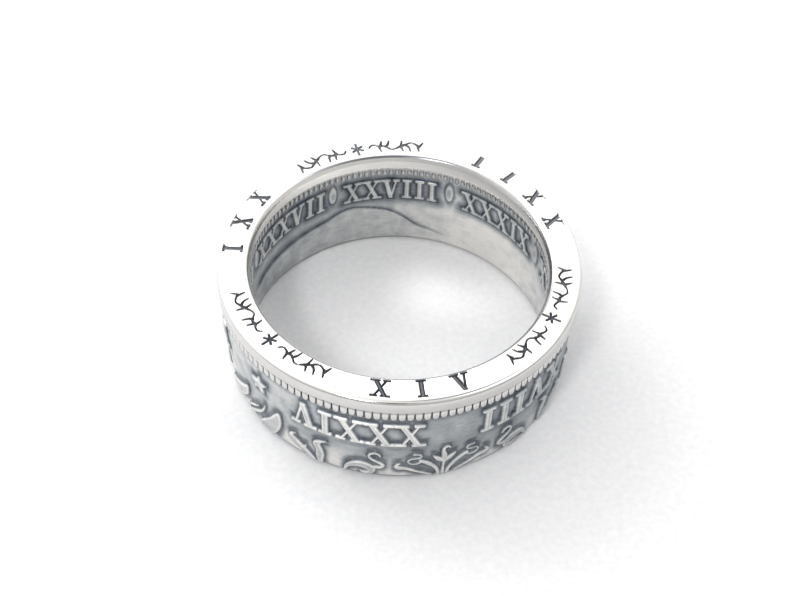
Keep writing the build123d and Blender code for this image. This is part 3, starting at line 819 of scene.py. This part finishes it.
inner_relief = 0.14
field_relief = 0.1
field_flank = 0.35  # the width of the raised field's sloping edge
field_fade_right = 14  # degrees over which the field fades out at its ends
field_fade_left = 5
inner_shoulder = 0.1  # how far the wall comes forward behind the beads, up to the rim
inner_letter_height = 1.9
inner_letter_drop = 2.35
inner_letter_slimness = 0.8
dot_height = 1.75
dot_width = 0.65
dot_lift = 0.3  # the dots stand this far above the letters' middle
inner_columns = 1056
letters_from = 3.6  # the level from which the rows are fine
low_row = 0.105
letter_row = 0.065
INNER_NUMERALS = [("XXXVII", 143.5), ("XXVIII", 95), ("XXXIX", 46.5), ("XXXIV", -2), ("XXXII", -50),
                  ("XXIII", -98), ("XVIII", -146), ("XII", 180)]
INNER_DOTS = [119.5, 70.5, 22, -26, -74, -122, -167, 167]
FIELD_EDGE = [  # azimuth, drop as a share of the band's height
    (168, 0.75), (158, 0.705), (140, 0.676), (130, 0.657), (122, 0.63), (117, 0.587), (111, 0.562),
    (104, 0.591), (96, 0.636), (90, 0.71), (84, 0.81), (78, 0.852), (70, 0.91)]


def oval(width, height):
    """A dot's shape, its distance counted along its narrower way."""
    def distance(x, y):
        return (np.hypot(x / width * 2, y / height * 2) - 1) * width / 2
    return distance


INNER_TONE = 0.25
INNER_PAINTED_LIGHT_AND_SHADE = [(-0.3, 52, 28), (0.08, 150, 30)]  # painted light and shade: tones added, with the azimuth and spread of each; paler where the lamp falls
INNER_TOP_GREY = 0.14  # how much greyer the marks' tops are than outside
INNER_LETTER_HALO = (0.97, 0.5)
DOT_HALO = (0.8, 0.2)
FIELD_EDGE_HALO = (0.85, 0.2)
edge_halo_growth = 0.35  # how much wider the dark along the field's edge grows towards the left
growth_from = 108  # the azimuth where that starts
growth_span = 30  # and the degrees over which it grows
EDGE_SHARPNESS = 4  # how much faster the dark ends on the field's side of its edge
INNER_FOOT_TONE = 0.25
inner_letter_level = band_height - inner_letter_drop - inner_letter_height / 2
inner_azimuths = np.arange(inner_columns) * 360 / inner_columns - 180
inner_marks = letter_marks(INNER_NUMERALS, inner_letter_height, inner_letter_level, inner_field_radius, 1,
                           inner_letter_slimness)
inner_dots = [(azimuth, inner_letter_level + dot_lift, dot_width / 2, dot_height / 2,
               oval(dot_width, dot_height)) for azimuth in INNER_DOTS]
inner_levels = np.concatenate([
    spaced(foot_rounding, letters_from, low_row),
    spaced(letters_from, beading_foot + wall_start, letter_row)[1:], [beading_top]])
to_letter = mark_distance(inner_azimuths, inner_levels, inner_field_radius, inner_marks, halo_reach)
to_dot = mark_distance(inner_azimuths, inner_levels, inner_field_radius, inner_dots, halo_reach)
to_mark = np.minimum(to_letter, to_dot)
edge_path = np.array(smooth_path(sorted(FIELD_EDGE)))
edge_levels = band_height * (1 - np.interp(inner_azimuths, edge_path[:, 0], edge_path[:, 1]))
below_edge = edge_levels[None] - inner_levels[:, None]
within = (np.clip((inner_azimuths - edge_path[0, 0]) / field_fade_right, 0, 1)
          * np.clip((edge_path[-1, 0] - inner_azimuths) / field_fade_left, 0, 1))
field_share = within * rise(-below_edge, field_flank)
from_edge = np.maximum(-below_edge, below_edge * EDGE_SHARPNESS)
edge_tone, edge_reach = FIELD_EDGE_HALO
edge_reach = edge_reach + edge_halo_growth * np.clip((inner_azimuths - growth_from) / growth_span, 0, 1)
beside = np.maximum.reduce([halo(to_letter, *INNER_LETTER_HALO), halo(to_dot, *DOT_HALO),
                            within * halo(from_edge, edge_tone, edge_reach)])
# The inner field's tone, with painted light at the back right and painted shade at the back left
inner_open_tone = INNER_TONE + sum(
    tone * fading(inner_azimuths, *stretch) for tone, *stretch in INNER_PAINTED_LIGHT_AND_SHADE)
ground_tone = inner_open_tone + (1 - inner_open_tone) * beside
mark_tone = top_tone(to_mark) + INNER_TOP_GREY
inner_tarnish = ground_tone + (mark_tone - ground_tone) * rise(to_mark, tone_edge)
lean = np.clip((beading_foot - inner_levels) / (beading_foot - foot_rounding), 0, 1)[:, None]
behind_beads = np.clip((inner_levels - beading_foot) / bead_height, 0, 1)[:, None]
inner_front = (inner_field_radius + (foot_inner_radius - inner_field_radius) * lean
               - inner_shoulder * behind_beads - inner_relief * rise(to_mark, letter_flank)
               - field_relief * field_share)
inner_rest = [(core_radius, beading_top), (core_radius, 0.0)]
inner_rest += arc(foot_inner_radius + foot_rounding, foot_rounding, foot_rounding, 270, 180, foot_steps)[:-1]
back_rows = [len(inner_levels) + step for step in (-1, 0, 1)]
add_wall("inner_wall", inner_front, inner_levels, inner_tarnish, inner_rest, INNER_FOOT_TONE,
         inner_azimuths, back_rows, back_rows)

# The floor and the light: a sheet of white card in a white room that is brighter behind and to the
# left, with a dark spot round the camera, a soft lamp in front and one behind, both to the left, and
# the bright pool that the inside of the ring throws on the card.

half_floor = 1.5  # metres, as the other lengths of the floor and the lamps are
floor_drop = 0.00002  # the card lies this far below the ring's foot
grains_per_mm = 2.2  # coarser than the fibres of a real card, so that the grain shows
floor_mesh = bpy.data.meshes.new("floor")
floor_corners = [(x * half_floor, y * half_floor, -floor_drop)
                 for x, y in ((-1, -1), (1, -1), (1, 1), (-1, 1))]
floor_mesh.from_pydata(floor_corners, [], [(0, 1, 2, 3)])

# White card, rolled smooth: matt, so that it holds the ring's soft shadow, with a faint grey grain
card = bpy.data.materials.new("white card")
card.use_nodes = True
card_shader = card.node_tree.nodes["Principled BSDF"]
card_place = add_node(card.node_tree, "ShaderNodeTexCoord").outputs["Object"]
grain = add_node(card.node_tree, "ShaderNodeTexNoise", {
    "Vector": card_place, "Scale": grains_per_mm / MILLIMETRE, "Detail": 4.0})
grain_ramp = add_node(card.node_tree, "ShaderNodeValToRGB", {"Fac": grain.outputs["Fac"]})
grain_ramp.color_ramp.elements[0].color = colour("#CFD0D2")
grain_ramp.color_ramp.elements[1].color = colour("#E6E5E5")
card.node_tree.links.new(grain_ramp.outputs["Color"], card_shader.inputs["Base Color"])
card_shader.inputs["Roughness"].default_value = 0.9
floor_mesh.materials.append(card)
add_object("floor", floor_mesh)

ROOM_LIGHT = ((-0.35, 0.6, 0.5), -0.1, 0.85, 0.66, 1.4)  # towards the bright side, starts, ends, low, high
ROOM_PATCHES = [  # towards, starts, ends and brightness of the ceiling, the dark spot and a window
    ((0, 0, 1), 0.86, 0.97, 0.85), ((0, -0.67, 0.74), 0.975, 0.992, 0.2), ((0.57, 0, 0.81), 0.9, 0.98, 2.4)]
world = bpy.data.worlds.new("white room")
bpy.context.scene.world = world
world.use_nodes = True
sky = world.node_tree
direction = add_node(sky, "ShaderNodeTexCoord").outputs["Generated"]


def towards(aim, starts, ends, low, high):
    """Brightness that grows from low to high as a direction turns towards an aim, between two cosines of
    the angle that is left."""
    facing = add_node(sky, "ShaderNodeVectorMath", {0: direction, 1: Vector(aim).normalized()},
                      operation="DOT_PRODUCT")
    ranged = add_node(sky, "ShaderNodeMapRange", {
        "Value": facing.outputs["Value"], "From Min": starts, "From Max": ends, "To Min": low,
        "To Max": high}, interpolation_type="SMOOTHSTEP")
    return ranged.outputs["Result"]


strength = towards(*ROOM_LIGHT)
for aim, starts, ends, high in ROOM_PATCHES:
    patch = towards(aim, starts, ends, 1.0, high)
    strength = add_node(sky, "ShaderNodeMath", {0: strength, 1: patch}, operation="MULTIPLY").outputs[0]
sky.nodes["Background"].inputs["Color"].default_value = colour("#FFFFFF")
sky.links.new(strength, sky.nodes["Background"].inputs["Strength"])


def add_lamp(name, kind, place, target, **settings):
    """A lamp with its settings, aimed at a point."""
    light = bpy.data.lights.new(name, kind)
    for setting, value in settings.items():
        setattr(light, setting, value)
    lamp = add_object(name, light)
    lamp.location = place
    lamp.rotation_euler = (Vector(target) - Vector(place)).to_track_quat("-Z", "Y").to_euler()


ring_middle = (0, 0, 0)
pool_height = 0.1
pool_angle = radians(3.8)
POOLS = [(0.0024, 0.0052, 0.155), (0.0064, 0.0043, 0.105)]  # x, y and power
add_lamp("front lamp", "AREA", (-0.1, -0.22, 0.3), ring_middle, energy=0.45, size=0.06)
add_lamp("back lamp", "AREA", (-0.12, 0.1, 0.11), ring_middle, energy=0.19, size=0.12)
for x, y, power in POOLS:
    add_lamp("bright pool", "SPOT", (x, y, pool_height), (x, y, 0), energy=power,
             spot_size=pool_angle, spot_blend=1.0, shadow_soft_size=0.002)

# The camera: the photograph's own view, fitted to the ellipses of the rim and the beading. Its focal
# length and the rim's middle are in pixels of the frame, and its distance in millimetres.

focal_pixels = 1450
frame_width = 794
frame_height = 596
rim_distance = 99.144
elevation = radians(47.918)
roll = radians(2.267)
rim_pixel = (399.88, 259.70)
forward = Vector((0, cos(elevation), -sin(elevation)))
level_right = Vector((1, 0, 0))
level_up = Vector((0, sin(elevation), cos(elevation)))
right = cos(roll) * level_right + sin(roll) * level_up
up = cos(roll) * level_up - sin(roll) * level_right
aside = (rim_pixel[0] - frame_width / 2) / focal_pixels * rim_distance
above = (frame_height / 2 - rim_pixel[1]) / focal_pixels * rim_distance
eye = Vector((0, 0, band_height)) - aside * right - above * up - rim_distance * forward
sensor_width = 36
camera_data = bpy.data.cameras.new("camera")
camera_data.sensor_width = sensor_width
camera_data.lens = sensor_width * focal_pixels / frame_width
camera_data.clip_start = 0.001
camera = add_object("camera", camera_data)
turn = Matrix((right, up, -forward)).transposed()
camera.matrix_world = Matrix.Translation(eye * MILLIMETRE) @ turn.to_4x4()
bpy.context.scene.camera = camera
bpy.context.scene.view_settings.view_transform = "Standard"
